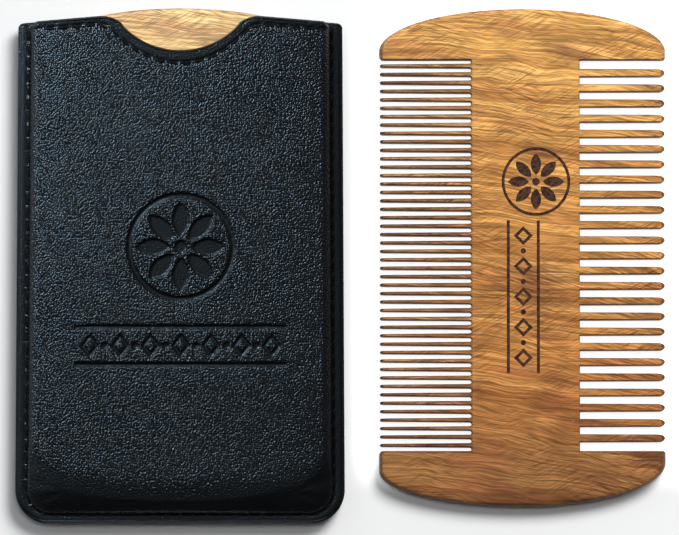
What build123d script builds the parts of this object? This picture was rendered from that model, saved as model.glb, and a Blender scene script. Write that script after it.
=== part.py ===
from build123d import *
import os
from math import cos, pi, radians, sin, sqrt

# Double-sided wooden beard comb with its stitched slip sleeve, laid flat beside a
# second, uncovered view of the same comb.  Units are millimetres, +Z is up, +Y runs
# toward the sleeve mouth, and the origin is the middle of the set on the table.

os.makedirs("parts", exist_ok=True)

# ---- comb ----
comb_half_width = 30.45
comb_half_length = 53.0
comb_half_thick = 2.2
crown_rise_top = 9.0
crown_rise_bottom_left = 7.5
crown_rise_bottom_right = 9.45
side_nose_depth = 1.2
crown_edge_radius = 1.1

fine_root_x = -10.8
coarse_root_x = 12.2
tooth_zone_top = 42.1
tooth_zone_bottom = -41.2

fine_count = 46
fine_pitch = 1.795
fine_root_width = 0.88
fine_tip_width = 0.58
fine_tip_x = -30.3
fine_tip_length = 0.5

coarse_count = 25
coarse_pitch = 3.24
coarse_root_width = 1.64
coarse_tip_width = 1.5
coarse_tip_x = 30.3
coarse_tip_length = 1.4

cap_corner_fine = 0.9
cap_corner_coarse = 0.5
tooth_chamfer = 0.15
burn_depth = 0.18

# ---- sleeve ----
leather_thick = 0.8
lining_thick = 0.3
panel_thick = leather_thick + lining_thick
pocket_half_width = 31.0
pocket_bottom = -53.7
pocket_half_height = 2.65
sleeve_flare = 0.35

edge_half_width_top = 34.35
edge_half_width_bottom = 34.9
edge_bottom = -56.5
edge_corner_radius = 7.1
mouth_corner_y = 49.8
mouth_peak_y = 52.6
notch_radius = 16.9
notch_bottom = 43.9
notch_shoulder_radius = 7.5

seam_inset_side = 2.15
seam_inset_bottom = 1.8
mouth_row_inset = 2.3
stitch_pitch = 2.9
thread_radius = 0.25
needle_sink = 0.3
bobbin_sink = 0.17
deboss_depth = 0.35

# ---- layout ----
spacing = 72.7
set_width = edge_half_width_bottom + spacing + comb_half_width
sleeve_x = edge_half_width_bottom - set_width / 2
loose_x = sleeve_x + spacing
comb_y = (comb_half_length - edge_bottom) / 2 - comb_half_length
seam_z = pocket_half_height + panel_thick


# draw-in of the nosed sides and of the rounded crown edges at a given height
def side_draw_in(z):
    return side_nose_depth * (1 - sqrt(max(1 - (z / comb_half_thick) ** 2, 0.0)))


def crown_draw_in(z):
    over = max(abs(z) - comb_half_thick + crown_edge_radius, 0.0)
    return crown_edge_radius - sqrt(max(crown_edge_radius**2 - over**2, 0.0))


blank_levels = [-2.2, -2.12, -1.9, -1.5, -1.0, 0.0, 1.0, 1.5, 1.9, 2.12, 2.2]


# eight-petal rosette inside a ring, drawn into the open sketch
def rosette(radius):
    ring = radius * 0.085
    petal_in = radius * 0.2
    petal_out = radius * 0.82
    petal_mid = (petal_in + petal_out) / 2
    petal_half = radius * 0.15
    Circle(radius)
    Circle(radius - ring, mode=Mode.SUBTRACT)
    Circle(radius * 0.11)
    for i in range(8):
        with BuildSketch(mode=Mode.PRIVATE) as petal:
            with BuildLine():
                ThreePointArc((petal_in, 0), (petal_mid, petal_half), (petal_out, 0))
                ThreePointArc((petal_out, 0), (petal_mid, -petal_half), (petal_in, 0))
            make_face()
        add(petal.sketch, rotation=45 * i)


# border band: two thin rules with lozenges and dots between them, lengthwise in X
def border_band(length, height, repeats):
    rule = height * 0.09
    step = length / repeats
    with Locations((0, height / 2 - rule / 2), (0, rule / 2 - height / 2)):
        Rectangle(length, rule)
    for i in range(repeats):
        x = -length / 2 + step * (i + 0.5)
        with Locations((x, 0)):
            with BuildSketch(mode=Mode.PRIVATE) as lozenge:
                Polygon(
                    (-step * 0.31, 0),
                    (0, -height * 0.29),
                    (step * 0.31, 0),
                    (0, height * 0.29),
                    align=None,
                )
                Polygon(
                    (-step * 0.17, 0),
                    (0, -height * 0.16),
                    (step * 0.17, 0),
                    (0, height * 0.16),
                    align=None,
                    mode=Mode.SUBTRACT,
                )
            add(lozenge.sketch)
    for i in range(repeats - 1):
        x = -length / 2 + step * (i + 1)
        with Locations((x, 0)):
            Circle(height * 0.08)


# board with both crowns and nosed sides, before the teeth are cut
def comb_blank():
    with BuildPart() as blank:
        for z in blank_levels:
            w = comb_half_width - side_draw_in(z)
            d = crown_draw_in(z)
            top = comb_half_length - d
            bottom = d - comb_half_length
            top_c = comb_half_length - crown_rise_top
            left_c = crown_rise_bottom_left - comb_half_length
            right_c = crown_rise_bottom_right - comb_half_length
            with BuildSketch(Plane.XY.offset(z)):
                with BuildLine():
                    EllipticalCenterArc((0, top_c), w, top - top_c, 0, arc_size=90)
                    EllipticalCenterArc((0, top_c), w, top - top_c, 90, arc_size=90)
                    Line((-w, top_c), (-w, left_c))
                    EllipticalCenterArc((0, left_c), w, left_c - bottom, 180, arc_size=90)
                    EllipticalCenterArc((0, right_c), w, right_c - bottom, 270, arc_size=90)
                    Line((w, right_c), (w, top_c))
                make_face()
        loft()
    return blank.part


# everything sawn away on one side, as one outline: the gaps, the tapered teeth
# between them and the rounded inner corners of both caps; out is -1 or +1 along X,
# and ease widens the outline evenly so that the teeth come out thinner
def saw_outline(out, root_x, count, pitch, root_width, tip_width, tip_x, tip_length, corner, z, ease):
    mid = (tooth_zone_top + tooth_zone_bottom) / 2
    rows = [mid + (i - (count - 1) / 2) * pitch for i in range(count)]
    root_half = root_width / 2 - ease
    tip_half = tip_width / 2 - ease
    tip_reach = tip_length - ease
    tip_start = tip_x - out * tip_length
    far = out * (comb_half_width + 2)
    edge = out * comb_half_width
    top = tooth_zone_top + ease
    bottom = tooth_zone_bottom - ease
    bend = corner - ease
    lows = [bottom] + [y + root_half for y in rows]
    highs = [y - root_half for y in rows] + [top]
    round_roots = out < 0
    radii = [(high - low) / 2 if round_roots else 0 for low, high in zip(lows, highs)]
    root = root_x - out * ease
    with BuildSketch(Plane.XY.offset(z)) as outline:
        with BuildLine():
            for low, high, radius in zip(lows, highs, radii):
                if round_roots:
                    ThreePointArc(
                        (root + out * radius, low),
                        (root, (low + high) / 2),
                        (root + out * radius, high),
                    )
                else:
                    Line((root, low), (root, high))
            for i, y in enumerate(rows):
                EllipticalCenterArc((tip_start, y), tip_reach, tip_half, -90 * out, arc_size=180)
                Line((root + out * radii[i], highs[i]), (tip_start, y - tip_half))
                Line((tip_start, y + tip_half), (root + out * radii[i + 1], lows[i + 1]))
            Line((root + out * radii[-1], top), (edge - out * corner, top))
            Line((root + out * radii[0], bottom), (edge - out * corner, bottom))
            ThreePointArc(
                (edge - out * corner, top),
                (edge - out * (corner - bend * sin(radians(45))), top + bend * (1 - cos(radians(45)))),
                (edge - out * (corner - bend), top + bend),
            )
            ThreePointArc(
                (edge - out * corner, bottom),
                (edge - out * (corner - bend * sin(radians(45))), bottom - bend * (1 - cos(radians(45)))),
                (edge - out * (corner - bend), bottom - bend),
            )
            Polyline(
                (edge - out * (corner - bend), top + bend),
                (far, top + bend),
                (far, bottom - bend),
                (edge - out * (corner - bend), bottom - bend),
            )
        make_face()
    return outline.sketch


# the saw cut on one side, opened out at both faces so that every tooth edge is eased
def saw_cut(*shape):
    flat = comb_half_thick - tooth_chamfer
    past = comb_half_thick + tooth_chamfer / 2
    levels = ((-past, 1.5 * tooth_chamfer), (-flat, 0), (flat, 0), (past, 1.5 * tooth_chamfer))
    with BuildPart() as cut:
        for z, ease in levels:
            add(saw_outline(*shape, z, ease))
        loft(ruled=True)
    return cut.part


def build_comb():
    fine_cut = saw_cut(
        -1, fine_root_x, fine_count, fine_pitch, fine_root_width, fine_tip_width,
        fine_tip_x, fine_tip_length, cap_corner_fine,
    )
    coarse_cut = saw_cut(
        1, coarse_root_x, coarse_count, coarse_pitch, coarse_root_width, coarse_tip_width,
        coarse_tip_x, coarse_tip_length, cap_corner_coarse,
    )
    with BuildPart() as comb:
        add(comb_blank())
        add(fine_cut, mode=Mode.SUBTRACT)
        add(coarse_cut, mode=Mode.SUBTRACT)
        with BuildSketch(Plane.XY.offset(comb_half_thick)):
            with Locations((2.9, 16.1)):
                with BuildSketch(mode=Mode.PRIVATE) as emblem:
                    rosette(7.3)
                add(emblem.sketch)
            with Locations((0.2, -8.4)):
                with BuildSketch(mode=Mode.PRIVATE) as band:
                    border_band(32.5, 7.0, 5)
                add(band.sketch, rotation=90)
        extrude(amount=-burn_depth, mode=Mode.SUBTRACT)
    return comb.part


comb_solid = build_comb()

with BuildPart() as sleeved_comb:
    with Locations((sleeve_x, comb_y, seam_z)):
        add(comb_solid)
sleeved_comb.part.label = "sleeved_comb"
export_step(sleeved_comb.part, "parts/sleeved_comb.step")

with BuildPart() as loose_comb:
    with Locations((loose_x, comb_y, comb_half_thick)):
        add(comb_solid)
loose_comb.part.label = "loose_comb"
export_step(loose_comb.part, "parts/loose_comb.step")


# ---- sleeve: two moulded panels sewn together round the comb ----
# pocket flank, as (inset from the side seam, inset from the bottom seam, corner
# half-axes, slope of the flank in degrees, height above the seam plane)
pocket_steps = [
    (0.0, 0.0, 4.5, 4.5, 0, 0.0),
    (0.2, 0.15, 6.0, 5.0, 20, 0.9),
    (0.6, 0.4, 9.0, 5.8, 38, 1.6),
    (1.5, 1.1, 15.0, 7.0, 60, 2.25),
    (3.2, 2.3, 20.0, 8.0, 80, 2.55),
    (6.5, 4.5, 22.0, 9.0, 90, 2.65),
]


# pocket volume grown outward by a skin, as a stack of U-shaped outlines
def pocket_volume(skin):
    with BuildPart() as pocket:
        for side_in, end_in, corner_a, corner_b, slope, rise in pocket_steps:
            out = skin * cos(radians(slope))
            w_top = pocket_half_width - side_in + out
            w_low = w_top + sleeve_flare
            bottom = pocket_bottom + end_in - out
            low = bottom + corner_b
            with BuildSketch(Plane.XY.offset(rise + skin * sin(radians(slope)))):
                with BuildLine():
                    Line((w_top, 62), (-w_top, 62))
                    Line((-w_top, 62), (-w_low, low))
                    EllipticalCenterArc((corner_a - w_low, low), corner_a, corner_b, 180, arc_size=90)
                    Line((corner_a - w_low, bottom), (w_low - corner_a, bottom))
                    EllipticalCenterArc((w_low - corner_a, low), corner_a, corner_b, 270, arc_size=90)
                    Line((w_low, low), (w_top, 62))
                make_face()
        loft()
    return pocket.part


# flat outline of a panel, drawn inset from its cut edge
def panel_outline(side_in, bottom_in, mouth_in, corner_radius):
    w_top = edge_half_width_top - side_in
    w_low = edge_half_width_bottom - side_in
    low = edge_bottom + bottom_in
    corner_y = mouth_corner_y - mouth_in
    peak_y = mouth_peak_y - mouth_in
    with BuildSketch() as outline:
        with BuildLine():
            Polyline(
                (-w_low, low),
                (w_low, low),
                (w_top, corner_y),
                (0, peak_y),
                (-w_top, corner_y),
                (-w_low, low),
            )
        make_face()
        with Locations((0, notch_bottom + notch_radius)):
            Circle(notch_radius + mouth_in, mode=Mode.SUBTRACT)
        notch_ends = [v for v in outline.vertices() if v.Y > 45 and abs(v.X) < 20]
        fillet(notch_ends, notch_shoulder_radius - mouth_in)
        low_ends = [v for v in outline.vertices() if v.Y < edge_bottom + 5]
        fillet(low_ends, corner_radius)
    return outline.sketch


# points spaced evenly along a path, closest whole number of stitches to the pitch
def stitch_points(path, pitch, start, end):
    run = path.length - start - end
    count = round(run / pitch)
    step = run / count
    return [path.position_at((start + i * step) / path.length) for i in range(count + 1)]


# one stitch: two legs joined by a bar lying on the panel, legs pointing down
def staple(p0, p1, depth):
    reach = (p1 - p0).length
    side = Vector(0, 0, 1).cross(p1 - p0)
    frame = Plane(origin=p0, x_dir=p1 - p0, z_dir=-side)
    inset = 0.28
    with BuildPart() as stitch:
        with BuildLine(frame):
            FilletPolyline(
                (inset, -depth),
                (inset, 0),
                (reach - inset, 0),
                (reach - inset, -depth),
                radius=0.3,
            )
        start = frame.from_local_coords(Vector(inset, -depth, 0))
        with BuildSketch(Plane(origin=start, z_dir=frame.y_dir)):
            Circle(thread_radius)
        sweep()
    return stitch.part


# a row of stitches sharing their holes
def stitch_row(points, depth):
    stitches = [staple(points[i], points[i + 1], depth) for i in range(len(points) - 1)]
    with BuildPart() as row:
        add(stitches)
    return row.part


pocket = pocket_volume(0)
lining_face = pocket_volume(lining_thick)
leather_face = pocket_volume(panel_thick)
edge_face = panel_outline(0, 0, 0, edge_corner_radius)

# seam row round the sides and bottom
row_face = panel_outline(seam_inset_side, seam_inset_bottom, 0, edge_corner_radius - seam_inset_bottom)
row_edges = [e for e in row_face.edges() if e.center().Y < 30]
seam_path = Wire(row_edges)
seam_points = stitch_points(seam_path, stitch_pitch, 1.2, 1.2)
needle_line = panel_thick - 0.1
seam_needle_points = [Vector(p.X, p.Y, needle_line) for p in seam_points]
perimeter_row = stitch_row(seam_needle_points, needle_line)

# mouth row through one panel only, following the notch
mouth_face = panel_outline(seam_inset_side + 3.2, 0, mouth_row_inset, edge_corner_radius)
mouth_edges = [e for e in mouth_face.edges() if e.center().Y > 30]
mouth_path = Wire(mouth_edges)
mouth_points = stitch_points(mouth_path, stitch_pitch, 0.2, 0.2)
print("perimeter stitches", len(seam_points) - 1, "mouth stitches", len(mouth_points) - 1)


# height of a moulded face above the seam plane at a point
def face_height(volume, point):
    hits = volume.find_intersection_points(Axis((point.X, point.Y, -1), (0, 0, 1)))
    return max(hit[0].Z for hit in hits)


mouth_needle_points = []
mouth_bobbin_points = []
for p in mouth_points:
    top_z = face_height(leather_face, p)
    mouth_needle_points.append(Vector(p.X, p.Y, top_z - needle_sink))
    mouth_bobbin_points.append(Vector(p.X, p.Y, top_z - panel_thick + bobbin_sink))

mouth_needle = stitch_row(mouth_needle_points, 0.31)
mouth_bobbin_upside = stitch_row([Vector(p.X, p.Y, -p.Z) for p in mouth_bobbin_points], 0.305)

# one panel's leather and lining in the seam frame, before the threads are let in
with BuildPart() as panel_stack:
    add(edge_face)
    extrude(amount=10)
trim = panel_stack.part

with BuildPart() as lining_core:
    add(edge_face)
    extrude(amount=lining_thick)
    add(lining_face)
    add(pocket, mode=Mode.SUBTRACT)
    add(trim, mode=Mode.INTERSECT)

with BuildPart() as leather_core:
    add(edge_face)
    extrude(amount=panel_thick)
    add(leather_face)
    add(lining_face, mode=Mode.SUBTRACT)
    with Locations((0, 0, lining_thick / 2)):
        Box(90, 150, lining_thick, mode=Mode.SUBTRACT)
    add(trim, mode=Mode.INTERSECT)

with BuildPart() as mouth_bobbin:
    mirror(mouth_bobbin_upside, about=Plane.XY)

with BuildPart() as lining_cut:
    add(lining_core.part)
    add(perimeter_row, mode=Mode.SUBTRACT)
    add(mouth_needle, mode=Mode.SUBTRACT)
    add(mouth_bobbin.part, mode=Mode.SUBTRACT)

with BuildPart() as leather_cut:
    add(leather_core.part)
    add(perimeter_row, mode=Mode.SUBTRACT)
    add(mouth_needle, mode=Mode.SUBTRACT)
    with Locations((0, 0, needle_sink)):
        add(mouth_needle, mode=Mode.SUBTRACT)
    add(mouth_bobbin.part, mode=Mode.SUBTRACT)

# the blind-pressed ornament on the front panel
with BuildPart() as leather_pressed:
    add(leather_cut.part)
    with BuildSketch(Plane.XY.offset(pocket_half_height + panel_thick)):
        with Locations((0.2, 2.0)):
            with BuildSketch(mode=Mode.PRIVATE) as sleeve_emblem:
                rosette(11.5)
            add(sleeve_emblem.sketch)
        with Locations((0.2, -19.0)):
            with BuildSketch(mode=Mode.PRIVATE) as sleeve_band:
                border_band(45.0, 8.8, 7)
            add(sleeve_band.sketch)
    extrude(amount=-deboss_depth, mode=Mode.SUBTRACT)

sleeve_place = (sleeve_x, comb_y, seam_z)

with BuildPart() as front_leather_panel:
    with Locations(sleeve_place):
        add(leather_pressed.part)
front_leather_panel.part.label = "front_leather_panel"
export_step(front_leather_panel.part, "parts/front_leather_panel.step")

with BuildPart() as front_lining:
    with Locations(sleeve_place):
        add(lining_cut.part)
front_lining.part.label = "front_lining"
export_step(front_lining.part, "parts/front_lining.step")

with BuildPart() as back_lining:
    with Locations(sleeve_place):
        add(mirror(lining_cut.part, about=Plane.XY, mode=Mode.PRIVATE))
back_lining.part.label = "back_lining"
export_step(back_lining.part, "parts/back_lining.step")

with BuildPart() as back_leather_panel:
    with Locations(sleeve_place):
        add(mirror(leather_cut.part, about=Plane.XY, mode=Mode.PRIVATE))
back_leather_panel.part.label = "back_leather_panel"
export_step(back_leather_panel.part, "parts/back_leather_panel.step")

with BuildPart() as perimeter_needle_thread:
    with Locations(sleeve_place):
        add(perimeter_row)
perimeter_needle_thread.part.label = "perimeter_needle_thread"
export_step(perimeter_needle_thread.part, "parts/perimeter_needle_thread.step")

with BuildPart() as perimeter_bobbin_thread:
    with Locations(sleeve_place):
        add(mirror(perimeter_row, about=Plane.XY, mode=Mode.PRIVATE))
perimeter_bobbin_thread.part.label = "perimeter_bobbin_thread"
export_step(perimeter_bobbin_thread.part, "parts/perimeter_bobbin_thread.step")

with BuildPart() as front_mouth_needle_thread:
    with Locations(sleeve_place):
        add(mouth_needle)
front_mouth_needle_thread.part.label = "front_mouth_needle_thread"
export_step(front_mouth_needle_thread.part, "parts/front_mouth_needle_thread.step")

with BuildPart() as front_mouth_bobbin_thread:
    with Locations(sleeve_place):
        add(mouth_bobbin.part)
front_mouth_bobbin_thread.part.label = "front_mouth_bobbin_thread"
export_step(front_mouth_bobbin_thread.part, "parts/front_mouth_bobbin_thread.step")

with BuildPart() as back_mouth_needle_thread:
    with Locations(sleeve_place):
        add(mirror(mouth_needle, about=Plane.XY, mode=Mode.PRIVATE))
back_mouth_needle_thread.part.label = "back_mouth_needle_thread"
export_step(back_mouth_needle_thread.part, "parts/back_mouth_needle_thread.step")

with BuildPart() as back_mouth_bobbin_thread:
    with Locations(sleeve_place):
        add(mouth_bobbin_upside)
back_mouth_bobbin_thread.part.label = "back_mouth_bobbin_thread"
export_step(back_mouth_bobbin_thread.part, "parts/back_mouth_bobbin_thread.step")
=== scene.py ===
import bpy
import math
import numpy as np
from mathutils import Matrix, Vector, kdtree, noise


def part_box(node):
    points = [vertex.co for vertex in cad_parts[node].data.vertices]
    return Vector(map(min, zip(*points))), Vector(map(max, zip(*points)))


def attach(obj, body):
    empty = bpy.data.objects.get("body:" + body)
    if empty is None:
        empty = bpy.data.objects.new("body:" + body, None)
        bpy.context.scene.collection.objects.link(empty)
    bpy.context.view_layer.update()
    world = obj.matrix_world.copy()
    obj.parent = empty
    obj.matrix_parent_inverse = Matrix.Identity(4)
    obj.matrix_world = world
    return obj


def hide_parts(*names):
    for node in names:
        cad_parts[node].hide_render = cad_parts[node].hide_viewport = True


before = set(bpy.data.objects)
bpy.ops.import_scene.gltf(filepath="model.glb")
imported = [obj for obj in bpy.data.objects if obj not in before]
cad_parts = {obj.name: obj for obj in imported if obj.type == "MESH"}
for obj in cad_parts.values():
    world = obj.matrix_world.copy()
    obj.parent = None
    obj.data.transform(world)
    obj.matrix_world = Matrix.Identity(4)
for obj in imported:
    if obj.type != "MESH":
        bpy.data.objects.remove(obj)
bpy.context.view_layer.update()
MM = 0.001

# ---------------------------------------------------------------- places from the frame, in millimetres
sleeve_low, sleeve_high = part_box("front_leather_panel")
loose_low, loose_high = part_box("loose_comb")
SX = (sleeve_low.x + sleeve_high.x) / 2 / MM          # sleeve centre line
CY = (loose_low.y + loose_high.y) / 2 / MM            # middle of both combs
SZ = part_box("front_lining")[0].z / MM                 # seam plane between the linings
LX = (loose_low.x + loose_high.x) / 2 / MM            # centre line of the comb beside the sleeve
LOOSE_TOP = loose_high.z / MM
INNER_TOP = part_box("sleeved_comb")[1].z / MM

# ---------------------------------------------------------------- sleeve, in millimetres about SX and CY
EDGE_TOP = 34.35          # half width at the mouth
EDGE_LOW = 34.9           # half width at the foot
EDGE_BOTTOM = -56.5       # cut edge of the foot
CORNER = 7.1              # radius of the foot corners
MOUTH_CORNER = 49.8       # height of the mouth edge at its outer ends
MOUTH_PEAK = 52.6         # height at which the mouth's two straight runs would meet
MOUTH_ROUND = 1.1         # radius of the mouth's outer corners
NOTCH_R = 16.9            # radius of the thumb notch
NOTCH_Y = 60.8            # centre of the notch circle
SHOULDER_R = 7.5          # rounding between notch and straight run
ROW_SIDE = 2.2            # stitch row in from the side edges
ROW_BOTTOM = 1.83         # stitch row in from the foot edge
ROW_MOUTH = 2.35          # stitch row in from the mouth edge
PITCH = 2.9               # stitch length
LEATHER = 0.8             # thickness of the leather
LINING = 0.3              # thickness of the lining
THINNEST = 0.28           # least thickness left under the grooves
RISE = 2.65               # how far the comb lifts the leather
SEAM_DEPTH = 0.27         # thread groove round the sides and foot
HEM_DEPTH = 0.32          # thread groove along the mouth
PRESSED = 0.28            # depth of the pressed ornament
CLOTH = 0.27              # thickness of the lining as drawn

# ---------------------------------------------------------------- comb, in millimetres
COMB_LENGTH = 106.0
COMB_END = -53.0                       # tip of the lower cap
# the rest is about the comb's middle and its top face
WEB_X, WEB_HALF = 0.7, 11.3            # the solid web between the two rows of teeth
TEETH_Y, TEETH_HALF = 0.45, 42.0       # the stretch that is cut into teeth
BURN_X, BURN_HALF_X = 1.5, 9.2         # the part of the web that holds the engraving
BURN_HALF_Y = 30.0
BURN_TOP, BURN_FLOOR = -0.06, -0.5     # the engraving's floor lies between these heights


# ---------------------------------------------------------------- small helpers
def smooth(a, b, x):
    t = np.clip((x - a) / (b - a), 0.0, 1.0)
    return t * t * (3 - 2 * t)


def mesh_object(name, verts, faces, body, material):
    mesh = bpy.data.meshes.new(name)
    mesh.from_pydata([tuple(v) for v in verts], [], faces)
    mesh.update()
    mesh.polygons.foreach_set("use_smooth", [True] * len(mesh.polygons))
    ob = bpy.data.objects.new(name, mesh)
    bpy.context.scene.collection.objects.link(ob)
    mesh.materials.append(material)
    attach(ob, body)
    return ob


def new_material(name):
    mat = bpy.data.materials.new(name)
    mat.use_nodes = True
    nt = mat.node_tree
    nt.nodes.clear()
    out = nt.nodes.new("ShaderNodeOutputMaterial")
    bsdf = nt.nodes.new("ShaderNodeBsdfPrincipled")
    nt.links.new(bsdf.outputs[0], out.inputs[0])
    return mat, nt, bsdf


def feed(nt, value, socket):
    """put a number or a colour on a socket, or link another node's output to it"""
    if isinstance(value, (int, float)):
        socket.default_value = value
    elif isinstance(value, tuple):
        socket.default_value = (*value, 1.0)
    else:
        nt.links.new(value, socket)


def ramp(nt, value, stops):
    r = nt.nodes.new("ShaderNodeValToRGB")
    elements = r.color_ramp.elements
    while len(elements) < len(stops):
        elements.new(0.5)
    for element, (position, colour) in zip(elements, stops):
        element.position = position
        element.color = (*colour, 1.0)
    feed(nt, value, r.inputs[0])
    return r.outputs[0]


def grey_ramp(nt, value, *stops):
    return ramp(nt, value, [(position, (level, level, level)) for position, level in stops])


def calc(nt, operation, *values, clamp=False):
    m = nt.nodes.new("ShaderNodeMath")
    m.operation = operation
    m.use_clamp = clamp
    for value, socket in zip(values, m.inputs):
        feed(nt, value, socket)
    return m.outputs[0]


def product(nt, a, b):
    return calc(nt, "MULTIPLY", a, b)


def off_centre(nt, value, centre):
    """distance from a centre, whichever side the value is on"""
    return calc(nt, "ABSOLUTE", calc(nt, "SUBTRACT", value, centre))


def parts_of(nt, vector):
    s = nt.nodes.new("ShaderNodeSeparateXYZ")
    feed(nt, vector, s.inputs[0])
    return tuple(s.outputs)


def mapping(nt, vector, scale):
    m = nt.nodes.new("ShaderNodeMapping")
    m.inputs["Scale"].default_value = scale
    feed(nt, vector, m.inputs["Vector"])
    return m.outputs[0]


def noise_tex(nt, vector, detail, rough, distortion=0.0):
    n = nt.nodes.new("ShaderNodeTexNoise")
    n.inputs["Scale"].default_value = 1.0
    n.inputs["Detail"].default_value = detail
    n.inputs["Roughness"].default_value = rough
    n.inputs["Distortion"].default_value = distortion
    feed(nt, vector, n.inputs["Vector"])
    return n.outputs[0]


def scaled_noise(nt, vector, scale, detail, rough, distortion=0.0):
    return noise_tex(nt, mapping(nt, vector, (scale, scale, scale)), detail, rough, distortion)


def stretched(nt, point, density, detail, rough, distortion=0.0):
    """noise with its own density, per millimetre, along each of the point's three axes"""
    v = nt.nodes.new("ShaderNodeCombineXYZ")
    for value, scale, socket in zip(point, density, v.inputs):
        feed(nt, product(nt, value, scale), socket)
    return noise_tex(nt, v.outputs[0], detail, rough, distortion)


def mix_colour(nt, amount, a, b, blend="MIX"):
    m = nt.nodes.new("ShaderNodeMix")
    m.data_type = "RGBA"
    m.blend_type = blend
    m.clamp_factor = True
    feed(nt, amount, m.inputs[0])
    feed(nt, a, m.inputs[6])
    feed(nt, b, m.inputs[7])
    return m.outputs[2]


def tinted(nt, colour, tint, amount=1.0):
    return mix_colour(nt, amount, colour, tint, "MULTIPLY")


def set_bump(nt, bsdf, height, strength, distance):
    b = nt.nodes.new("ShaderNodeBump")
    b.inputs["Strength"].default_value = strength
    b.inputs["Distance"].default_value = distance
    feed(nt, height, b.inputs["Height"])
    feed(nt, b.outputs[0], bsdf.inputs["Normal"])


def offset_coords(nt, vector, x, y, z):
    """object coordinates in millimetres about a point given in millimetres"""
    v = nt.nodes.new("ShaderNodeVectorMath")
    v.operation = "SCALE"
    v.inputs["Scale"].default_value = 1 / MM
    feed(nt, vector, v.inputs[0])
    s = nt.nodes.new("ShaderNodeVectorMath")
    s.operation = "SUBTRACT"
    s.inputs[1].default_value = (x, y, z)
    feed(nt, v.outputs[0], s.inputs[0])
    return s.outputs[0]


def sleeve_coords(nt):
    return offset_coords(nt, nt.nodes.new("ShaderNodeTexCoord").outputs["Object"], SX, CY, SZ)


# ---------------------------------------------------------------- wood
def turned(nt, x, y, degrees):
    """x and y turned by an angle about the comb's middle"""
    c, s = math.cos(math.radians(degrees)), math.sin(math.radians(degrees))
    u = calc(nt, "MULTIPLY_ADD", x, c, product(nt, y, s))
    v = calc(nt, "MULTIPLY_ADD", y, c, product(nt, x, -s))
    return u, v


def across_grain(nt, x, y, z):
    """place across the grain, which runs along the teeth, falls a little toward +X, bows and wanders"""
    wander = stretched(nt, (x, y, z), (0.022, 0.05, 0.08), 3.0, 0.5)
    slope = calc(nt, "MULTIPLY_ADD", x, 0.10, y)
    bow = product(nt, product(nt, x, x), 0.0016)
    return calc(nt, "ADD", calc(nt, "ADD", slope, bow), calc(nt, "MULTIPLY_ADD", wander, 11.0, -5.5))


def growth_bands(nt, grain):
    """pale and dark bands along the grain, with redder patches"""
    bands = stretched(nt, grain, (0.014, 0.24, 0.16), 4.0, 0.62, 0.1)
    base = ramp(nt, bands, [
        (0.30, (0.330, 0.150, 0.046)),
        (0.41, (0.480, 0.225, 0.070)),
        (0.50, (0.600, 0.305, 0.094)),
        (0.60, (0.700, 0.385, 0.125)),
        (0.72, (0.800, 0.480, 0.175)),
    ])
    red_patch = stretched(nt, grain, (0.05, 0.13, 0.1), 2.0, 0.5)
    return mix_colour(nt, grey_ramp(nt, red_patch, (0.52, 0.0), (0.68, 0.65)), base, (0.560, 0.235, 0.092))


def feathered(nt, colour, point, grain):
    """slanted strokes both ways, in patches, and thin dark lines along the grain"""
    x, y, z = point
    straight = calc(nt, "MULTIPLY_ADD", grain[1], 0.35, product(nt, y, 0.65))
    stroke_up = stretched(nt, (*turned(nt, x, straight, 28), z), (0.20, 3.1, 1.0), 1.0, 0.5)
    stroke_down = stretched(nt, (*turned(nt, x, straight, -17), z), (0.18, 2.9, 1.0), 1.0, 0.5)
    patch = stretched(nt, point, (0.07, 0.11, 0.1), 2.0, 0.5)
    which = grey_ramp(nt, patch, (0.42, 0.0), (0.58, 1.0))
    quiet = stretched(nt, point, (0.06, 0.05, 0.1), 2.0, 0.5)
    amount = grey_ramp(nt, quiet, (0.36, 0.15), (0.60, 0.95))
    shade = ramp(nt, mix_colour(nt, which, stroke_up, stroke_down), [
        (0.35, (0.38, 0.32, 0.26)),
        (0.48, (0.96, 0.96, 0.96)),
        (0.62, (1.24, 1.30, 1.42)),
    ])
    colour = mix_colour(nt, amount, colour, tinted(nt, colour, shade))
    lines = stretched(nt, grain, (0.070, 3.0, 1.4), 2.0, 0.55)
    dark_lines = grey_ramp(nt, lines, (0.58, 0.0), (0.63, 1.0))
    return mix_colour(nt, product(nt, dark_lines, 0.72), colour, (0.230, 0.110, 0.040))


def smoky(nt, colour, point, grain):
    """olive streaks along the grain, and soft darker clouds"""
    streak = stretched(nt, grain, (0.030, 0.52, 0.3), 4.0, 0.66, 0.3)
    colour = mix_colour(nt, grey_ramp(nt, streak, (0.56, 0.0), (0.70, 0.80)), colour, (0.200, 0.108, 0.042))
    cloud = grey_ramp(nt, stretched(nt, point, (0.040, 0.065, 0.1), 2.0, 0.5), (0.52, 0.0), (0.68, 0.85))
    return mix_colour(nt, cloud, colour, tinted(nt, colour, (0.52, 0.49, 0.55)))


def tone_and_shade_along(nt, y):
    """golden and light at the upper end, browner and darker lower down: wood tone plus painted shade"""
    along = calc(nt, "MULTIPLY_ADD", y, 1 / COMB_LENGTH, 0.5, clamp=True)
    return ramp(nt, along, [
        (0.00, (0.40, 0.33, 0.32)),
        (0.10, (0.48, 0.39, 0.37)),
        (0.22, (0.70, 0.55, 0.45)),
        (0.72, (0.88, 0.79, 0.64)),
        (1.00, (1.02, 1.02, 0.90)),
    ])


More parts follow.
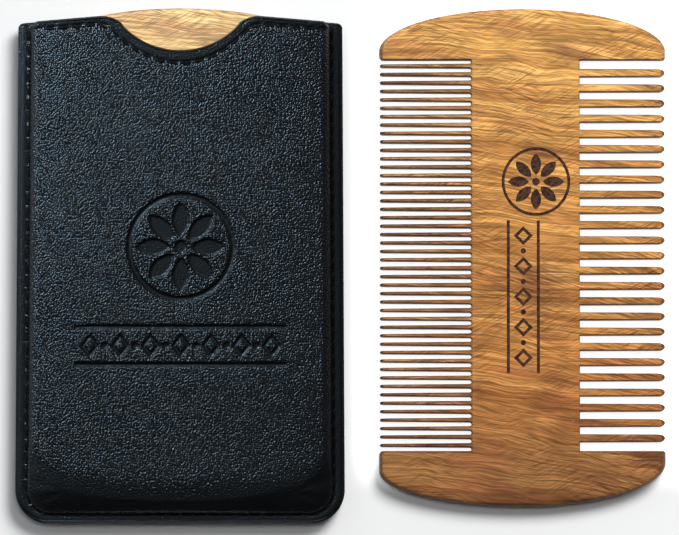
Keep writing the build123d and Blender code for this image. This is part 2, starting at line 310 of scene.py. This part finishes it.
def painted_edge_shade(nt, colour, x, y, facing_up):
    """painted shade on side walls: dark on the teeth's cut walls, less on rounded outer edges; fine teeth
    darker, bluer
    """
    cut_wall_shade = ramp(nt, facing_up, [
        (0.05, (0.085, 0.055, 0.040)),
        (0.50, (0.22, 0.16, 0.12)),
        (0.76, (0.40, 0.32, 0.26)),
        (0.975, (1.0, 1.0, 1.0)),
    ])
    outer_edge_shade = ramp(nt, facing_up, [
        (0.05, (0.30, 0.30, 0.30)),
        (0.50, (0.72, 0.66, 0.60)),
        (0.90, (1.0, 1.0, 1.0)),
    ])
    off_web = calc(nt, "GREATER_THAN", off_centre(nt, x, WEB_X), WEB_HALF)
    in_stretch = calc(nt, "LESS_THAN", off_centre(nt, y, TEETH_Y), TEETH_HALF)
    toothed = product(nt, off_web, in_stretch)
    colour = tinted(nt, colour, mix_colour(nt, toothed, outer_edge_shade, cut_wall_shade))
    fine_side = product(nt, toothed, calc(nt, "LESS_THAN", x, 0.0))
    return tinted(nt, colour, mix_colour(nt, fine_side, (1.0, 1.0, 1.0), (0.70, 0.70, 0.86)))


def engraved_floor(nt, x, y, z):
    """1 on the floor of the engraving: inside the web and below its face"""
    in_x = calc(nt, "LESS_THAN", off_centre(nt, x, BURN_X), BURN_HALF_X)
    in_y = calc(nt, "LESS_THAN", calc(nt, "ABSOLUTE", y), BURN_HALF_Y)
    deep = product(nt, calc(nt, "LESS_THAN", z, BURN_TOP), calc(nt, "GREATER_THAN", z, BURN_FLOOR))
    return product(nt, deep, product(nt, in_x, in_y))


def char_colour(nt, mm):
    patches = scaled_noise(nt, mm, 1.4, 3.0, 0.6)
    return ramp(nt, patches, [(0.38, (0.022, 0.009, 0.006)), (0.62, (0.085, 0.036, 0.020))])


def wood_material(name, x0, y0, top, wash):
    mat, nt, bsdf = new_material(name)
    coords = nt.nodes.new("ShaderNodeTexCoord")
    mm = offset_coords(nt, coords.outputs["Object"], x0, y0, top)
    point = parts_of(nt, mm)
    x, y, z = point
    facing_up = calc(nt, "ABSOLUTE", parts_of(nt, coords.outputs["Normal"])[2])
    grain = (x, across_grain(nt, x, y, z), z)
    streaks = stretched(nt, grain, (0.040, 1.15, 0.7), 3.0, 0.68)
    fibre = stretched(nt, grain, (0.10, 3.6, 2.4), 1.0, 0.60)
    pores = grey_ramp(nt, stretched(nt, grain, (0.28, 4.8, 2.8), 1.0, 0.4), (0.61, 0.0), (0.66, 1.0))
    flecks = grey_ramp(nt, stretched(nt, grain, (0.7, 3.0, 1.0), 1.0, 0.4), (0.75, 0.0), (0.83, 0.30))

    colour = growth_bands(nt, grain)
    colour = tinted(nt, colour, grey_ramp(nt, streaks, (0.33, 0.50), (0.50, 0.97), (0.66, 1.30)), 0.95)
    colour = tinted(nt, colour, grey_ramp(nt, fibre, (0.34, 0.62), (0.50, 0.98), (0.66, 1.28)), 0.9)
    colour = feathered(nt, colour, point, grain)
    colour = smoky(nt, colour, point, grain)
    # darker toward the lower end: the wood's tone and painted shade
    colour = tinted(nt, tinted(nt, colour, tone_and_shade_along(nt, y)), wash)
    colour = mix_colour(nt, product(nt, pores, 0.55), colour, (0.120, 0.052, 0.020))
    colour = mix_colour(nt, flecks, colour, (0.85, 0.62, 0.34))
    # painted shade on the comb's side walls and rounded edges
    colour = painted_edge_shade(nt, colour, x, y, facing_up)
    burn = engraved_floor(nt, x, y, z)
    feed(nt, mix_colour(nt, burn, colour, char_colour(nt, mm)), bsdf.inputs["Base Color"])

    rough = calc(nt, "MULTIPLY_ADD", fibre, 0.20, 0.42)
    feed(nt, calc(nt, "MULTIPLY_ADD", burn, 0.25, rough), bsdf.inputs["Roughness"])
    bsdf.inputs["Coat Weight"].default_value = 0.05
    bsdf.inputs["Coat Roughness"].default_value = 0.30
    bsdf.inputs["Specular IOR Level"].default_value = 0.25
    relief = calc(nt, "MULTIPLY_ADD", pores, -1.0, product(nt, fibre, 0.8))
    relief = calc(nt, "MULTIPLY_ADD", streaks, 0.6, relief)
    set_bump(nt, bsdf, relief, 0.10, 0.10 * MM)
    return mat


# ---------------------------------------------------------------- leather, lining and thread
def warped_coords(nt, mm):
    """coordinates shifted by up to 0.14 mm, so that the pebbles of the grain aren't all alike"""
    warp = nt.nodes.new("ShaderNodeTexNoise")
    warp.inputs["Scale"].default_value = 0.8
    warp.inputs["Detail"].default_value = 2.0
    feed(nt, mm, warp.inputs["Vector"])
    shifted = nt.nodes.new("ShaderNodeVectorMath")
    shifted.operation = "MULTIPLY_ADD"
    feed(nt, warp.outputs["Color"], shifted.inputs[0])
    shifted.inputs[1].default_value = (0.14, 0.14, 0.14)
    feed(nt, mm, shifted.inputs[2])
    return shifted.outputs[0]


def domes(nt, vector, density, smoothness):
    """one round dome for each cell, 1 at its top"""
    cells = nt.nodes.new("ShaderNodeTexVoronoi")
    cells.voronoi_dimensions = "2D"
    cells.feature = "SMOOTH_F1"
    cells.inputs["Randomness"].default_value = 0.85
    cells.inputs["Scale"].default_value = density
    cells.inputs["Smoothness"].default_value = smoothness
    feed(nt, vector, cells.inputs["Vector"])
    distance = cells.outputs["Distance"]
    return calc(nt, "SUBTRACT", 1.0, product(nt, distance, distance))


def leather_material(name):
    mat, nt, bsdf = new_material(name)
    mm = sleeve_coords(nt)
    warped = warped_coords(nt, mm)
    creases = scaled_noise(nt, mm, 2.4, 2.0, 0.50, 0.3)
    height = product(nt, domes(nt, warped, 2.25, 0.12), 1.40)
    height = calc(nt, "MULTIPLY_ADD", domes(nt, warped, 4.6, 0.3), 0.10, height)
    height = calc(nt, "MULTIPLY_ADD", creases, 0.10, height)
    # the grain stands a little higher on the left and is worn flatter toward the right
    height = product(nt, height, calc(nt, "MULTIPLY_ADD", parts_of(nt, mm)[0], -0.0012, 0.53))
    # pressed and tightly drawn leather is flatter; the same attribute also carries painted shade over the
    # comb's foot
    flat_and_shaded = nt.nodes.new("ShaderNodeAttribute")
    flat_and_shaded.attribute_name = "flat_and_shaded"
    pressed = flat_and_shaded.outputs["Fac"]
    height = product(nt, height, calc(nt, "MULTIPLY_ADD", pressed, -0.75, 1.0))

    tone = grey_ramp(nt, scaled_noise(nt, mm, 0.05, 3.0, 0.55), (0.3, 0.75), (0.7, 1.3))
    # painted shade: the grain's hollows are coloured darker than its tops
    high = grey_ramp(nt, height, (0.50, 0.0), (1.00, 1.0))
    colour = mix_colour(nt, high, (0.0009, 0.0011, 0.0013), (0.0030, 0.0038, 0.0046))
    colour = tinted(nt, colour, tone)
    # darker where pressed or held flat; over the comb's foot and on the low seam margin this is painted
    # shade
    colour = mix_colour(nt, product(nt, pressed, 0.9), colour, (0.0012, 0.0013, 0.0014))
    feed(nt, colour, bsdf.inputs["Base Color"])
    rough = calc(nt, "MULTIPLY_ADD", high, -0.08, calc(nt, "MULTIPLY_ADD", creases, 0.08, 0.26))
    feed(nt, calc(nt, "MULTIPLY_ADD", pressed, 0.10, rough), bsdf.inputs["Roughness"])
    bsdf.inputs["Specular IOR Level"].default_value = 0.5
    bsdf.inputs["Specular Tint"].default_value = (0.86, 0.94, 1.0, 1.0)
    set_bump(nt, bsdf, height, 1.0, 0.28 * MM)
    return mat


def lining_material(name):
    mat, nt, bsdf = new_material(name)
    mm = sleeve_coords(nt)
    nap = noise_tex(nt, mapping(nt, mm, (3.0, 1.2, 3.0)), 5.0, 0.7, 0.4)
    colour = ramp(nt, nap, [(0.3, (0.006, 0.006, 0.007)), (0.7, (0.020, 0.020, 0.022))])
    tone = grey_ramp(nt, scaled_noise(nt, mm, 0.15, 2.0, 0.5), (0.3, 0.8), (0.7, 1.3))
    feed(nt, tinted(nt, colour, tone), bsdf.inputs["Base Color"])
    bsdf.inputs["Roughness"].default_value = 0.95
    bsdf.inputs["Sheen Weight"].default_value = 0.35
    bsdf.inputs["Sheen Roughness"].default_value = 0.5
    set_bump(nt, bsdf, nap, 0.6, 0.12 * MM)
    return mat


def thread_material(name):
    mat, nt, bsdf = new_material(name)
    fibre = scaled_noise(nt, sleeve_coords(nt), 9.0, 4.0, 0.7)
    colour = ramp(nt, fibre, [(0.3, (0.0006, 0.0006, 0.0007)), (0.7, (0.0024, 0.0025, 0.0028))])
    feed(nt, colour, bsdf.inputs["Base Color"])
    bsdf.inputs["Roughness"].default_value = 0.65
    bsdf.inputs["Specular IOR Level"].default_value = 0.14
    set_bump(nt, bsdf, fibre, 0.5, 0.06 * MM)
    return mat


leather = leather_material("black pebble leather")
lining = lining_material("brushed lining")
thread = thread_material("black sewing thread")


# ---------------------------------------------------------------- outline of the panels
def half_width(y):
    t = np.clip((MOUTH_CORNER - y) / (MOUTH_CORNER - EDGE_BOTTOM), 0.0, 1.0)
    over = np.clip(y - (MOUTH_CORNER - MOUTH_ROUND), 0.0, MOUTH_ROUND)
    rounding = MOUTH_ROUND - np.sqrt(MOUTH_ROUND**2 - over**2)
    return EDGE_TOP + (EDGE_LOW - EDGE_TOP) * t - rounding


def mouth_line(x, inset=0.0):
    """height of the mouth edge at x, with the notch and its rounded shoulders"""
    ax = np.abs(x)
    m = (MOUTH_PEAK - MOUTH_CORNER) / EDGE_TOP
    r, rs = NOTCH_R + inset, SHOULDER_R - inset
    norm = math.sqrt(1 + m * m)
    # centre of the shoulder circle: below the line by rs, and r + rs from the notch centre
    c0 = MOUTH_PEAK - inset - rs * norm
    a, b, c = 1 + m * m, -2 * m * (c0 - NOTCH_Y), (c0 - NOTCH_Y) ** 2 - (r + rs) ** 2
    xc = (-b + math.sqrt(b * b - 4 * a * c)) / (2 * a)
    yc = c0 - m * xc
    x_in = xc * r / (r + rs)
    x_out = xc + rs * m / norm
    line = MOUTH_PEAK - inset - m * ax
    notch = NOTCH_Y - np.sqrt(np.maximum(r * r - ax * ax, 0.0))
    shoulder = yc + np.sqrt(np.maximum(rs * rs - (ax - xc) ** 2, 0.0))
    return np.where(ax < x_in, notch, np.where(ax < x_out, shoulder, line))


def mouth_row(x):
    """the stitch row under the mouth, closer to the edge on the shoulders than at the notch"""
    ax = np.abs(x)
    return mouth_line(x, ROW_MOUTH) + 0.45 * smooth(8, 17, ax) - 0.5 * (1 - smooth(2, 13, ax))


def bottom_line(x):
    ax = np.maximum(np.abs(x) - (EDGE_LOW - CORNER), 0.0)
    return EDGE_BOTTOM + CORNER - np.sqrt(np.maximum(CORNER**2 - ax**2, 0.0))


def inside_row(x, y):
    """distance in from the stitch row that runs round the sides and bottom"""
    r = CORNER - ROW_BOTTOM
    qx = np.abs(x) - (half_width(y) - ROW_SIDE - r)
    qy = (EDGE_BOTTOM + ROW_BOTTOM + r) - y
    out = np.hypot(np.maximum(qx, 0), np.maximum(qy, 0)) + np.minimum(np.maximum(qx, qy), 0)
    return r - out


def outside_comb(x, y):
    """distance outside the part of the comb that the leather lies on"""
    a = 30.2
    b = np.where(x < 0, 6.3, 8.2)
    centre_y = np.where(x < 0, 7.5, 9.45) + COMB_END
    dy = np.maximum(centre_y - y, 0.0)
    f = np.sqrt((x / a) ** 2 + (dy / b) ** 2)
    g = np.sqrt((x / a**2) ** 2 + (dy / b**2) ** 2) + 1e-9
    return np.maximum(f * (f - 1) / g, 0.0)


def above_crown(x, y):
    """distance up from a curve that stands in for the lower crown of the sleeved comb"""
    b = np.where(x < 0, 8.5, 6.5)
    return y - (b + COMB_END - b * np.sqrt(np.maximum(1 - (x / 30.45) ** 2, 0.0)))


# ---------------------------------------------------------------- pressed ornament
def inside(distance):
    """1 inside a shape and 0 outside it, with a soft edge"""
    return 1 - smooth(-0.12, 0.12, distance)


def lozenge(x, y, half_x, half_y):
    """distance outside a lozenge, negative within it"""
    return (np.abs(x) / half_x + np.abs(y) / half_y - 1) * (half_x * half_y / math.hypot(half_x, half_y))


def rosette(x, y, radius, petals):
    """a ring round a dot and lens-shaped petals"""
    rho = np.hypot(x, y)
    out = inside(np.abs(rho - radius * 0.9575) - radius * 0.0425)
    out = np.maximum(out, inside(rho - radius * 0.11))
    start, end, half = radius * 0.2, radius * 0.82, radius * 0.15
    c = (end - start) / 2
    arc = (c * c + half * half) / (2 * half)
    for i in range(petals):
        t = math.radians(360 / petals * i)
        u = x * math.cos(t) + y * math.sin(t) - (start + end) / 2
        v = -x * math.sin(t) + y * math.cos(t)
        out = np.maximum(out, inside(np.hypot(u, np.abs(v) + arc - half) - arc))
    return out


def lozenge_band(x, y, length, height, count):
    """a row of open lozenges and dots between two rules"""
    rule = height * 0.09
    past_end = np.abs(x) - length / 2
    out = np.zeros_like(x)
    for side in (1, -1):
        across = np.abs(y - side * (height / 2 - rule / 2)) - rule / 2
        out = np.maximum(out, inside(np.maximum(past_end, across)))
    step = length / count
    cell = x - (np.floor(x / step + count / 2) + 0.5 - count / 2) * step
    outer = lozenge(cell, y, step * 0.31, height * 0.29)
    inner = lozenge(cell, y, step * 0.17, height * 0.16)
    out = np.maximum(out, inside(np.maximum(np.maximum(outer, -inner), past_end)))
    for i in range(count - 1):
        out = np.maximum(out, inside(np.hypot(x + length / 2 - step * (i + 1), y) - height * 0.08))
    return out


def ornament(x, y):
    """depth share of the blind pressing, 0 outside to 1 inside"""
    return np.maximum(rosette(x - 0.2, y - 2.0, 11.5, 8), lozenge_band(x - 0.2, y + 19.0, 45.0, 8.8, 7))


# ---------------------------------------------------------------- stitch places
def spaced(points, margin, pitch):
    """places along a line, about a pitch apart, that leave a margin at both ends"""
    p = np.array(points)
    seg = np.hypot(*(p[1:] - p[:-1]).T)
    run = np.concatenate([[0], np.cumsum(seg)])
    n = round((run[-1] - margin - margin) / pitch)
    at = np.linspace(margin, run[-1] - margin, n + 1)
    return np.stack([np.interp(at, run, p[:, 0]), np.interp(at, run, p[:, 1])], axis=1)


def perimeter_path():
    """down the left side, along the foot and up the right side"""
    r = CORNER - ROW_BOTTOM
    low_x = EDGE_LOW - ROW_SIDE - 0.02
    low_y = EDGE_BOTTOM + ROW_BOTTOM
    path = [(-(EDGE_TOP - ROW_SIDE), MOUTH_CORNER)]
    for side, start in ((-1, math.pi), (1, 1.5 * math.pi)):
        for k in range(25):
            t = start + k / 24 * math.pi / 2
            path.append((side * (low_x - r) + r * math.cos(t), low_y + r + r * math.sin(t)))
    path.append((EDGE_TOP - ROW_SIDE, MOUTH_CORNER))
    return path


def mouth_path():
    xs = np.linspace(-EDGE_TOP + ROW_SIDE, EDGE_TOP - ROW_SIDE, 801)
    return np.stack([xs, mouth_row(xs)], axis=1)


row_holes = spaced(perimeter_path(), 1.3, PITCH)
mouth_holes = spaced(mouth_path(), 0.3, PITCH)


# ---------------------------------------------------------------- height of the moulded leather
def hole_distance(x, y, holes):
    tree = kdtree.KDTree(len(holes))
    for i, h in enumerate(holes):
        tree.insert((h[0], h[1], 0), i)
    tree.balance()
    flat = np.stack([x.ravel(), y.ravel()], axis=1)
    return np.array([tree.find((a, b, 0))[2] for a, b in flat]).reshape(x.shape)


def field_noise(x, y, scale, seed):
    flat = np.stack([x.ravel(), y.ravel()], axis=1) * scale
    return np.array([noise.noise((a, b, seed)) for a, b in flat]).reshape(x.shape)


def groove(x, y, distance, depth, reach, holes):
    """a thread groove, nearly filled at each needle hole"""
    bridge = 1 - 0.85 * np.exp(-((hole_distance(x, y, holes) / 0.58) ** 2))
    return depth * np.exp(-((distance / reach) ** 2)) * bridge


def drawn_height(x, y):
    """the leather drawn from the seam up over the comb"""
    d_row = inside_row(x, y)
    d_in = np.maximum(d_row - 0.25, 0.0)
    d_out = outside_comb(x, y)
    d_out = d_out**2 / (d_out + 0.7)
    share = (d_in / (d_in + d_out + 1e-6)) ** 0.42
    share = share * (0.93 + 0.07 * smooth(0.0, 7.5, d_in))
    foot_drop = 0.30 * (1 - smooth(-1.5, 6.5, above_crown(x, y))) * smooth(0.0, 1.5, d_row)
    return LEATHER + LINING + RISE * share - foot_drop


def seam_relief(x, y, edge):
    """thread grooves, a slight swell outside the seam, and the hem of the mouth"""
    d_row = inside_row(x, y)
    below_row = mouth_row(x) - y
    between_sides = smooth(EDGE_TOP - ROW_SIDE + 0.4, EDGE_TOP - ROW_SIDE, np.abs(x))
    z = 0.03 * smooth(0.0, -0.5, d_row) * smooth(0.0, 0.7, edge)
    z = z - groove(x, y, d_row, SEAM_DEPTH, 0.36, row_holes)
    z = z - groove(x, y, below_row, HEM_DEPTH, 0.38, mouth_holes) * between_sides
    return z + 0.07 * smooth(0.35, 1.0, -below_row) * smooth(0.0, 0.6, mouth_line(x) - y) * between_sides


def slackness(x, y, front):
    """slow waves of leather moulded by hand, and drag lines from the foot corners toward the comb"""
    d_row = inside_row(x, y)
    seed = 3.1 if front else 9.4
    z = 0.13 * field_noise(x, y, 0.055, seed) * smooth(1.0, 8.0, d_row)
    z = z + 0.05 * field_noise(x, y, 0.17, seed + 5) * smooth(0.5, 4.0, d_row)
    angle = np.arctan2(y + 50.0, np.abs(x) - 24.0)
    near = np.exp(-(((np.hypot(np.abs(x) - 31.0, y + 53.0) - 3.5) / 3.2) ** 2))
    return z + 0.06 * np.sin(angle * 9.0 + 1.0) * near * smooth(0.3, 2.0, d_row)


def leather_height(x, y, front, detail=True):
    """height of the leather's outer face above the seam plane"""
    edge = np.minimum(inside_row(x, y) + ROW_BOTTOM, mouth_line(x) - y)
    z = drawn_height(x, y)
    if detail:
        z = z + seam_relief(x, y, edge) + slackness(x, y, front)
    return z - 0.30 * (1 - smooth(0.0, 0.45, edge)) ** 2


def flatness_and_shade(x, y, pressed):
    """how flat and how dark the grain is: pressed in, drawn tight over the comb's end, or held by seam and
    hem
    """
    d_row = inside_row(x, y)
    # over the comb's end the darkening is painted shade, where the leather slopes away from the light
    taut_and_shade = 0.85 * (1 - smooth(0.0, 5.5, above_crown(x, y))) * smooth(0.3, 1.2, d_row)
    taut_and_shade = np.maximum(taut_and_shade, 0.90 * smooth(0.0, -0.5, d_row))
    taut_and_shade = np.maximum(taut_and_shade, 0.80 * smooth(0.0, 0.5, y - mouth_row(x)))
    return np.maximum(pressed, taut_and_shade)


# ---------------------------------------------------------------- panels as closed sheets
def columns(step):
    mid = EDGE_LOW - CORNER
    n_side = max(12, int(CORNER * 1.35 / step))
    side = mid + CORNER * np.sin(np.linspace(0, math.pi / 2, n_side + 1))
    inner = np.linspace(-mid, mid, int(2 * mid / step) + 1)
    return np.concatenate([-side[::-1], inner[1:-1], side])


def grid_points(step):
    x0 = columns(step)
    low, high = bottom_line(x0), mouth_line(x0 * EDGE_TOP / EDGE_LOW)
    n = int((MOUTH_PEAK - EDGE_BOTTOM) / step)
    v = np.linspace(0, 1, n + 1)
    # closer rows about 0.15 and 0.4 mm in from both cut edges
    near = np.array([0.15, 0.4]) / 108
    v = np.concatenate([[0], near, v[1:-1], 1 - near[::-1], [1]])
    y = low[None, :] + v[:, None] * (high - low)[None, :]
    x = (x0 / EDGE_LOW)[None, :] * half_width(y)
    return x, y


def rim_of(rows, cols):
    """indices of the grid's outer points, in order round the edge"""
    rim = list(range(cols))
    rim += [i * cols + cols - 1 for i in range(1, rows)]
    rim += [(rows - 1) * cols + j for j in range(cols - 2, -1, -1)]
    rim += [i * cols for i in range(rows - 2, 0, -1)]
    return rim


def shell(name, x, y, z_out, z_in, sign, body, material):
    """closed sheet between two height fields that share one outline, its cut edge a little convex"""
    rows, cols = x.shape
    n = rows * cols
    outer = np.stack([SX + x, CY + y, SZ + sign * z_out], axis=2).reshape(-1, 3)
    inner = np.stack([SX + x, CY + y, SZ + sign * z_in], axis=2).reshape(-1, 3)
    rim = rim_of(rows, cols)
    p = outer[rim, :2]
    t = np.roll(p, -1, 0) - np.roll(p, 1, 0)
    outward = np.stack([t[:, 1], -t[:, 0]], axis=1)
    outward /= np.maximum(np.hypot(outward[:, 0], outward[:, 1]), 1e-9)[:, None]
    centre = (outer[rim] + inner[rim]) / 2
    centre[:, :2] += outward * 0.10
    verts = np.concatenate([outer, inner, centre]) * MM
    faces = []
    for i in range(rows - 1):
        for j in range(cols - 1):
            a = i * cols + j
            faces.append((a, a + 1, a + cols + 1, a + cols))
            faces.append((a + n, a + cols + n, a + cols + 1 + n, a + 1 + n))
    for k, here in enumerate(rim):
        k2 = (k + 1) % len(rim)
        faces.append((rim[k2], here, 2 * n + k, 2 * n + k2))
        faces.append((2 * n + k2, 2 * n + k, here + n, rim[k2] + n))
    if sign < 0:
        faces = [f[::-1] for f in faces]
    return mesh_object(name, verts, faces, body, material)


def build_leather(side, sign, node_name, step):
    front = sign > 0
    x, y = grid_points(step)
    z_out = leather_height(x, y, front)
    plain = leather_height(x, y, front, detail=False)
    z_in = np.minimum(z_out - THINNEST, plain - LEATHER)
    z_in = np.maximum(z_in, LINING + 0.02)
    pressed = ornament(x, y) if front else np.zeros_like(x)
    z_out = z_out - PRESSED * pressed
    piece = shell(side + "_leather_skin", x, y, z_out, z_in, sign, "sleeve", leather)
    layer = piece.data.attributes.new("flat_and_shaded", "FLOAT", "POINT")
    flat = flatness_and_shade(x, y, pressed).ravel()
    layer.data.foreach_set("value", np.pad(flat, (0, len(piece.data.vertices) - flat.size)))
    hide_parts(node_name)


def build_lining(side, sign, lining_name):
    x, y = grid_points(1.2)
    top = leather_height(x, y, sign > 0, detail=False) - LEATHER - 0.03
    z_out = np.maximum(top, CLOTH)
    z_in = np.maximum(top - CLOTH, 0.01)
    piece = shell(side + "_lining_cloth", x * 0.996, y, z_out, z_in, sign, "sleeve", lining)
    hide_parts(lining_name)


FRONT_STEP = 0.32
for side, sign, step in (("front", 1, FRONT_STEP), ("back", -1, 0.7)):
    build_leather(side, sign, side + "_leather_panel", step)
    build_lining(side, sign, side + "_lining")


# ---------------------------------------------------------------- stitches
AROUND, ALONG = 15, 16      # points round a stitch, and steps along it


def surface_z(place, front, sink):
    """height at one place of the plain leather, less a given depth"""
    xa, ya = np.array([place[0]]), np.array([place[1]])
    return float(leather_height(xa, ya, front, detail=False)[0]) - sink


def stitch_rings(p0, p1, phase, radius, dive, lift):
    """rings of points round one three-ply stitch, which arches by lift and dives at both ends"""
    d = p1 - p0
    length = d.length
    d.normalize()
    up = Vector((0, 0, 1))
    up = (up - d * up.dot(d)).normalized()
    side = d.cross(up)
    slant = 0.10
    points = []
    for k in range(ALONG + 1):
        t = k / ALONG
        s = 2 * t - 1
        arch = lift - (dive + lift) * abs(s) ** 5
        c = p0 + d * (length * (0.09 + 0.82 * t)) + up * arch + side * (slant * s)
        slope = -(dive + lift) * 5 * abs(s) ** 4 * (1 if s > 0 else -1) * 2 / length
        n_up = (up - d * slope).normalized()
        taper = 1.0 - 0.22 * abs(s) ** 6
        for a in range(AROUND):
            th = 2 * math.pi * a / AROUND
            lobes = 1 + 0.13 * math.cos(3 * (th - 2.4 * t * length - phase))
            r = radius * lobes * taper
            points.append(c + side * (r * 1.12 * math.cos(th)) + n_up * (r * 0.9 * math.sin(th)))
    return points


def stitch_faces(base):
    """faces of one stitch whose points start at base, with both ends closed"""
    faces = []
    for k in range(ALONG):
        for a in range(AROUND):
            b = base + k * AROUND
            a2 = (a + 1) % AROUND
            faces.append((b + a, b + a2, b + AROUND + a2, b + AROUND + a))
    faces.append(tuple(base + a for a in range(AROUND))[::-1])
    faces.append(tuple(base + ALONG * AROUND + a for a in range(AROUND)))
    return faces


def stitch_piece(name, holes, heights, sign, node_name, radius, dive, lift):
    """a row of twisted stitches that dive into the holes between them"""
    ends = [Vector((h[0], h[1], z)) for h, z in zip(holes, heights)]
    verts, faces = [], []
    for i in range(len(ends) - 1):
        faces += stitch_faces(len(verts))
        verts += stitch_rings(ends[i], ends[i + 1], 2.1 * i, radius, dive, lift)
    out = [((v.x + SX) * MM, (v.y + CY) * MM, (SZ + sign * v.z) * MM) for v in verts]
    if sign > 0:
        faces = [f[::-1] for f in faces]
    piece = mesh_object(name, out, faces, "sleeve", thread)
    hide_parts(node_name)


for side, sign, thread_name in (("front", 1, "needle_thread"), ("back", -1, "bobbin_thread")):
    z = [surface_z(h, sign > 0, SEAM_DEPTH) for h in row_holes]
    stitch_piece(side + "_seam_stitches", row_holes, z, sign, "perimeter_" + thread_name, 0.25, 0.35, 0.14)
for side, sign, lift in (("front", 1, 0.16), ("back", -1, 0.04)):
    mouth = side + "_mouth_"
    z = [surface_z(h, sign > 0, HEM_DEPTH + 0.01) for h in mouth_holes]
    stitch_piece(mouth + "stitches", mouth_holes, z, sign, mouth + "needle_thread", 0.24, 0.35, lift)
    inner = [h for h in mouth_holes if abs(h[0]) < 29.5]
    z = [-surface_z(h, sign > 0, LEATHER + LINING) for h in inner]
    stitch_piece(mouth + "understitches", inner, z, -sign, mouth + "bobbin_thread", 0.2, 0.3, 0.06)


# ---------------------------------------------------------------- combs keep their CAD shape
def put_material(node_name, material):
    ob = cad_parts[node_name]
    if not ob.material_slots:
        ob.data.materials.append(material)
    for s in ob.material_slots:
        s.material = material


loose_wood = wood_material("oiled wood, comb beside", LX, CY, LOOSE_TOP, (1.16, 1.18, 1.21))
inner_wood = wood_material("oiled wood, comb in sleeve", SX, CY, INNER_TOP, (1.38, 1.77, 2.82))
put_material("loose_comb", loose_wood)
put_material("sleeved_comb", inner_wood)


# ---------------------------------------------------------------- floor, light, camera
def soft_band(nt, value, low, high, fade_low, fade_high):
    """1 between low and high, easing to 0 over a fade on each side"""
    up = calc(nt, "MULTIPLY_ADD", value, 1 / fade_low, (fade_low - low) / fade_low, clamp=True)
    down = calc(nt, "MULTIPLY_ADD", value, -1 / fade_high, (fade_high + high) / fade_high, clamp=True)
    t = product(nt, up, down)
    return product(nt, product(nt, t, t), calc(nt, "MULTIPLY_ADD", t, -2.0, 3.0))


def floor_material(name):
    """a pale floor with a light pad let in under the comb beside the sleeve"""
    mat, nt, bsdf = new_material(name)
    mm = offset_coords(nt, nt.nodes.new("ShaderNodeTexCoord").outputs["Object"], 0, 0, 0)
    shade = grey_ramp(nt, scaled_noise(nt, mm, 0.02, 2.0, 0.5), (0.3, 0.80), (0.7, 0.82))
    feed(nt, shade, bsdf.inputs["Base Color"])
    bsdf.inputs["Roughness"].default_value = 0.85
    bsdf.inputs["Specular IOR Level"].default_value = 0.10
    place = parts_of(nt, mm)
    pad_x = soft_band(nt, place[0], LX - 31.0, LX + 30.0, 7.0, 30.0)
    pad_y = soft_band(nt, place[1], CY - 40.0, CY + 42.0, 11.0, 30.0)
    bsdf.inputs["Emission Color"].default_value = (1.0, 1.0, 1.0, 1.0)
    feed(nt, product(nt, product(nt, pad_x, pad_y), 0.86), bsdf.inputs["Emission Strength"])
    return mat


def build_floor(half, drop):
    mesh = bpy.data.meshes.new("floor")
    corners = [(-half, -half, -drop), (half, -half, -drop), (half, half, -drop), (-half, half, -drop)]
    mesh.from_pydata(corners, [], [(0, 1, 2, 3)])
    floor = bpy.data.objects.new("floor", mesh)
    bpy.context.scene.collection.objects.link(floor)
    mesh.materials.append(floor_material("pale floor"))


def studio_world():
    """dim walls, brighter toward a window at -X +Y, dark toward -Y"""
    world = bpy.data.worlds.new("studio")
    bpy.context.scene.world = world
    world.use_nodes = True
    nt = world.node_tree
    way = nt.nodes.new("ShaderNodeTexCoord").outputs["Generated"]
    window = nt.nodes.new("ShaderNodeVectorMath")
    window.operation = "DOT_PRODUCT"
    feed(nt, way, window.inputs[0])
    window.inputs[1].default_value = Vector((-0.55, 0.50, 0.67)).normalized()
    glow = calc(nt, "POWER", calc(nt, "MAXIMUM", window.outputs["Value"], 0.0), 5.0)
    walls = calc(nt, "MULTIPLY_ADD", parts_of(nt, way)[1], 0.16, 0.09)
    level = calc(nt, "MULTIPLY_ADD", glow, 0.50, calc(nt, "MAXIMUM", walls, 0.01))
    background = nt.nodes["Background"]
    feed(nt, mix_colour(nt, glow, (1.0, 1.0, 1.0), (0.82, 0.92, 1.0)), background.inputs[0])
    feed(nt, level, background.inputs[1])


def area_light(name, place, target, size, energy, colour=(1, 1, 1), diffuse=True, glossy=True):
    data = bpy.data.lights.new(name, "AREA")
    data.shape = "DISK"
    data.size = size
    data.energy = energy
    data.color = colour
    ob = bpy.data.objects.new(name, data)
    bpy.context.scene.collection.objects.link(ob)
    ob.location = place
    ob.rotation_euler = (Vector(target) - Vector(place)).to_track_quat("-Z", "Y").to_euler()
    ob.visible_diffuse = diffuse
    ob.visible_glossy = glossy
    ob.visible_camera = False


def build_camera(aim, tilt, distance, view_width):
    """a long lens that looks down, from a little toward -Y"""
    data = bpy.data.cameras.new("camera")
    cam = bpy.data.objects.new("camera", data)
    bpy.context.scene.collection.objects.link(cam)
    bpy.context.scene.camera = cam
    data.sensor_width = 36.0
    data.lens = 36.0 * distance / view_width
    data.clip_end = 10.0
    cam.location = aim + Vector((0, -math.sin(tilt), math.cos(tilt))) * distance
    cam.rotation_euler = (aim - cam.location).to_track_quat("-Z", "Y").to_euler()


build_floor(3.0, 0.00003)
studio_world()
area_light("key softbox", (0.34, 0.52, 0.80), (0, 0, 0), 0.50, 11.2, glossy=False)
area_light("top softbox", (0.03, 0.06, 1.25), (0, 0, 0), 0.30, 2.4, glossy=False)
area_light("window", (-0.18, 0.17, 0.16), (-0.08, 0.04, 0), 0.09, 1.0, (0.62, 0.82, 1.0), diffuse=False)
build_camera(Vector((-0.28 * MM, -0.4 * MM, 4.0 * MM)), math.radians(3.4), 2.5, 144.2875 * MM)
bpy.context.scene.view_settings.view_transform = "Standard"
bpy.context.scene.view_settings.look = "None"
